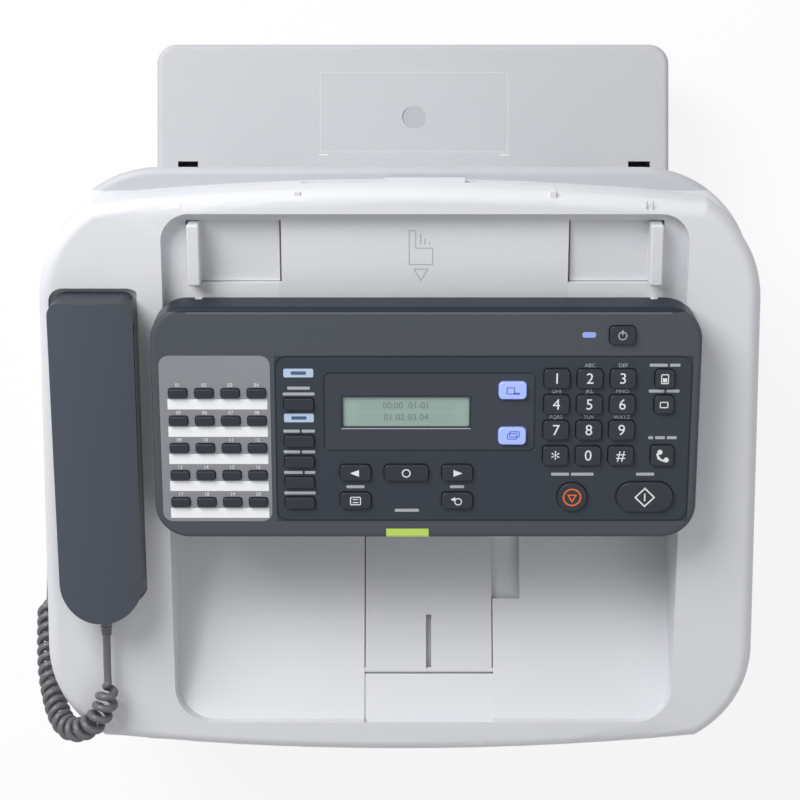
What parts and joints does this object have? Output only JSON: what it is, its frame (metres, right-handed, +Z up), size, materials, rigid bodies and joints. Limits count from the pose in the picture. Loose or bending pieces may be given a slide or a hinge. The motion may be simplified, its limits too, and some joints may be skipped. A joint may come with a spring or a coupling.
{
  "type": "desktop fax machine",
  "caption": "Desktop laser fax machine with a sloping lid, hinged control panel, side handset on a curly cord, document feeder, output bowl and paper cassette.",
  "frame": {"origin": "centre of the footprint on the table", "axes": "+X to the user's right, +Y to the rear, +Z up"},
  "size_m": [0.3832, 0.3837, 0.2372],
  "materials": {
    "light_shell": "fine satin texture",
    "grey_shell": "fine satin texture",
    "dark_panel": "satin",
    "silver_plate": "fine metallic paint",
    "dark_key": "satin",
    "lit_key": "translucent, lit",
    "display": "liquid crystal display",
    "lens": "translucent",
    "dark_handset": "satin",
    "cord_jacket": "flexible jacket",
    "board": "solder mask",
    "roller": "matte",
    "engine_black": "matte",
    "steel": "plain",
    "foot_rubber": "matte"
  },
  "bodies": {
    "body": {"top_cover": "light_shell", "main_housing": "light_shell", "base_frame": "engine_black", "rubber_feet": "foot_rubber", "screws": "steel", "cassette_cover": "grey_shell", "image_sensor": "engine_black", "toner_cartridge": "engine_black", "laser_unit": "steel", "fuser": "steel", "circuit_boards": "board", "drive_motor": "steel", "rear_sockets": "engine_black", "handset_cord": "cord_jacket", "cord_plug": "cord_jacket"},
    "panel": {"panel_housing": "dark_panel", "speed_dial_plate": "silver_plate", "lcd_module": "display", "panel_board": "board", "lamp_lenses": "lens"},
    "handset": {"handset_shell": "dark_handset", "handset_cover": "dark_handset"},
    "hook_plunger": {"hook_plunger": "dark_handset"},
    "guide_left": {"guide_left": "light_shell"},
    "guide_right": {"guide_right": "light_shell"},
    "document_support": {"document_support": "light_shell"},
    "output_flap": {"output_flap": "light_shell"},
    "front_door": {"front_door": "light_shell"},
    "cassette_tray": {"cassette_tray": "light_shell"},
    "feed_roller": {"feed_roller": "roller"},
    "exit_roller": {"exit_roller": "roller"},
    "pickup_roller": {"pickup_roller": "roller"},
    "key_1": {"key_1": "dark_key"},
    "key_2": {"key_2": "dark_key"},
    "key_3": {"key_3": "dark_key"},
    "key_4": {"key_4": "dark_key"},
    "key_5": {"key_5": "dark_key"},
    "key_6": {"key_6": "dark_key"},
    "key_7": {"key_7": "dark_key"},
    "key_8": {"key_8": "dark_key"},
    "key_9": {"key_9": "dark_key"},
    "key_star": {"key_star": "dark_key"},
    "key_0": {"key_0": "dark_key"},
    "key_hash": {"key_hash": "dark_key"},
    "key_left": {"key_left": "dark_key"},
    "key_enter": {"key_enter": "dark_key"},
    "key_right": {"key_right": "dark_key"},
    "key_menu": {"key_menu": "dark_key"},
    "key_back": {"key_back": "dark_key"},
    "key_mode_rear": {"key_mode_rear": "lit_key"},
    "key_mode_front": {"key_mode_front": "lit_key"},
    "key_address": {"key_address": "dark_key"},
    "key_redial": {"key_redial": "dark_key"},
    "key_hands_free": {"key_hands_free": "dark_key"},
    "key_power": {"key_power": "dark_key"},
    "key_stop": {"key_stop": "dark_key"},
    "key_start": {"key_start": "dark_key"},
    "function_keys": {"function_keys": "dark_key"},
    "speed_dial_keys": {"speed_dial_keys": "dark_key"}
  },
  "joints": [
    {"name": "panel_hinge", "type": "hinge", "parent": "body", "child": "panel", "pos_m": [0.0123, 0.03775, 0.21677], "axis": [-1, 0, 0], "range_deg": [0, 35]},
    {"name": "handset_lift", "type": "slide", "parent": "body", "child": "handset", "axis": [0, -0.2924, 0.9563], "range_m": [0, 0.07], "deforming": ["handset_cord"]},
    {"name": "hook_slide", "type": "slide", "parent": "body", "child": "hook_plunger", "axis": [0, -0.2924, 0.9563], "range_m": [0, 0.0036]},
    {"name": "guide_right_slide", "type": "slide", "parent": "body", "child": "guide_right", "axis": [-1, 0, 0], "range_m": [0, 0.035]},
    {"name": "guide_left_slide", "type": "slide", "parent": "body", "child": "guide_left", "axis": [1, 0, 0], "range_m": [0, 0.035]},
    {"name": "support_slide", "type": "slide", "parent": "body", "child": "document_support", "axis": [0, 0.9563, 0.2924], "range_m": [0, 0.045]},
    {"name": "flap_hinge", "type": "hinge", "parent": "body", "child": "output_flap", "pos_m": [0.01515, -0.14946, 0.13639], "axis": [1, 0, 0], "range_deg": [0, 105]},
    {"name": "door_hinge", "type": "hinge", "parent": "body", "child": "front_door", "pos_m": [0.0073, -0.1815, 0.0645], "axis": [1, 0, 0], "range_deg": [0, 90]},
    {"name": "cassette_slide", "type": "slide", "parent": "body", "child": "cassette_tray", "axis": [0, -1, 0], "range_m": [0, 0.24]},
    {"name": "feed_spin", "type": "hinge", "parent": "body", "child": "feed_roller", "pos_m": [0.0123, 0.02357, 0.19131], "axis": [1, 0, 0], "continuous": true},
    {"name": "exit_spin", "type": "hinge", "parent": "body", "child": "exit_roller", "pos_m": [0.0123, -0.01798, 0.15895], "axis": [1, 0, 0], "continuous": true},
    {"name": "pickup_spin", "type": "hinge", "parent": "body", "child": "pickup_roller", "pos_m": [0.0123, -0.1, 0.076], "axis": [1, 0, 0], "continuous": true},
    {"name": "key_1_press", "type": "slide", "parent": "panel", "child": "key_1", "axis": [0, 0.2924, -0.9563], "range_m": [0, 0.0015], "stiffness_N_per_m": 200},
    {"name": "key_2_press", "type": "slide", "parent": "panel", "child": "key_2", "axis": [0, 0.2924, -0.9563], "range_m": [0, 0.0015], "stiffness_N_per_m": 200},
    {"name": "key_3_press", "type": "slide", "parent": "panel", "child": "key_3", "axis": [0, 0.2924, -0.9563], "range_m": [0, 0.0015], "stiffness_N_per_m": 200},
    {"name": "key_4_press", "type": "slide", "parent": "panel", "child": "key_4", "axis": [0, 0.2924, -0.9563], "range_m": [0, 0.0015], "stiffness_N_per_m": 200},
    {"name": "key_5_press", "type": "slide", "parent": "panel", "child": "key_5", "axis": [0, 0.2924, -0.9563], "range_m": [0, 0.0015], "stiffness_N_per_m": 200},
    {"name": "key_6_press", "type": "slide", "parent": "panel", "child": "key_6", "axis": [0, 0.2924, -0.9563], "range_m": [0, 0.0015], "stiffness_N_per_m": 200},
    {"name": "key_7_press", "type": "slide", "parent": "panel", "child": "key_7", "axis": [0, 0.2924, -0.9563], "range_m": [0, 0.0015], "stiffness_N_per_m": 200},
    {"name": "key_8_press", "type": "slide", "parent": "panel", "child": "key_8", "axis": [0, 0.2924, -0.9563], "range_m": [0, 0.0015], "stiffness_N_per_m": 200},
    {"name": "key_9_press", "type": "slide", "parent": "panel", "child": "key_9", "axis": [0, 0.2924, -0.9563], "range_m": [0, 0.0015], "stiffness_N_per_m": 200},
    {"name": "key_star_press", "type": "slide", "parent": "panel", "child": "key_star", "axis": [0, 0.2924, -0.9563], "range_m": [0, 0.0015], "stiffness_N_per_m": 200},
    {"name": "key_0_press", "type": "slide", "parent": "panel", "child": "key_0", "axis": [0, 0.2924, -0.9563], "range_m": [0, 0.0015], "stiffness_N_per_m": 200},
    {"name": "key_hash_press", "type": "slide", "parent": "panel", "child": "key_hash", "axis": [0, 0.2924, -0.9563], "range_m": [0, 0.0015], "stiffness_N_per_m": 200},
    {"name": "key_left_press", "type": "slide", "parent": "panel", "child": "key_left", "axis": [0, 0.2924, -0.9563], "range_m": [0, 0.0015], "stiffness_N_per_m": 200},
    {"name": "key_enter_press", "type": "slide", "parent": "panel", "child": "key_enter", "axis": [0, 0.2924, -0.9563], "range_m": [0, 0.0015], "stiffness_N_per_m": 200},
    {"name": "key_right_press", "type": "slide", "parent": "panel", "child": "key_right", "axis": [0, 0.2924, -0.9563], "range_m": [0, 0.0015], "stiffness_N_per_m": 200},
    {"name": "key_menu_press", "type": "slide", "parent": "panel", "child": "key_menu", "axis": [0, 0.2924, -0.9563], "range_m": [0, 0.0015], "stiffness_N_per_m": 200},
    {"name": "key_back_press", "type": "slide", "parent": "panel", "child": "key_back", "axis": [0, 0.2924, -0.9563], "range_m": [0, 0.0015], "stiffness_N_per_m": 200},
    {"name": "key_mode_rear_press", "type": "slide", "parent": "panel", "child": "key_mode_rear", "axis": [0, 0.2924, -0.9563], "range_m": [0, 0.0015], "stiffness_N_per_m": 200},
    {"name": "key_mode_front_press", "type": "slide", "parent": "panel", "child": "key_mode_front", "axis": [0, 0.2924, -0.9563], "range_m": [0, 0.0015], "stiffness_N_per_m": 200},
    {"name": "key_address_press", "type": "slide", "parent": "panel", "child": "key_address", "axis": [0, 0.2924, -0.9563], "range_m": [0, 0.0015], "stiffness_N_per_m": 200},
    {"name": "key_redial_press", "type": "slide", "parent": "panel", "child": "key_redial", "axis": [0, 0.2924, -0.9563], "range_m": [0, 0.0015], "stiffness_N_per_m": 200},
    {"name": "key_hands_free_press", "type": "slide", "parent": "panel", "child": "key_hands_free", "axis": [0, 0.2924, -0.9563], "range_m": [0, 0.0015], "stiffness_N_per_m": 200},
    {"name": "key_power_press", "type": "slide", "parent": "panel", "child": "key_power", "axis": [0, 0.2924, -0.9563], "range_m": [0, 0.0015], "stiffness_N_per_m": 200},
    {"name": "key_stop_press", "type": "slide", "parent": "panel", "child": "key_stop", "axis": [0, 0.2924, -0.9563], "range_m": [0, 0.0015], "stiffness_N_per_m": 200},
    {"name": "key_start_press", "type": "slide", "parent": "panel", "child": "key_start", "axis": [0, 0.2924, -0.9563], "range_m": [0, 0.0015], "stiffness_N_per_m": 200},
    {"name": "function_keys_press", "type": "slide", "parent": "panel", "child": "function_keys", "axis": [0, 0.2924, -0.9563], "range_m": [0, 0.0015], "stiffness_N_per_m": 1200},
    {"name": "speed_dial_keys_press", "type": "slide", "parent": "panel", "child": "speed_dial_keys", "axis": [0, 0.2924, -0.9563], "range_m": [0, 0.0015], "stiffness_N_per_m": 1200}
  ],
  "couplings": [
    {"joint": "hook_slide", "follows": "handset_lift", "ratio": 0.05},
    {"joint": "guide_left_slide", "follows": "guide_right_slide", "ratio": 1}
  ]
}
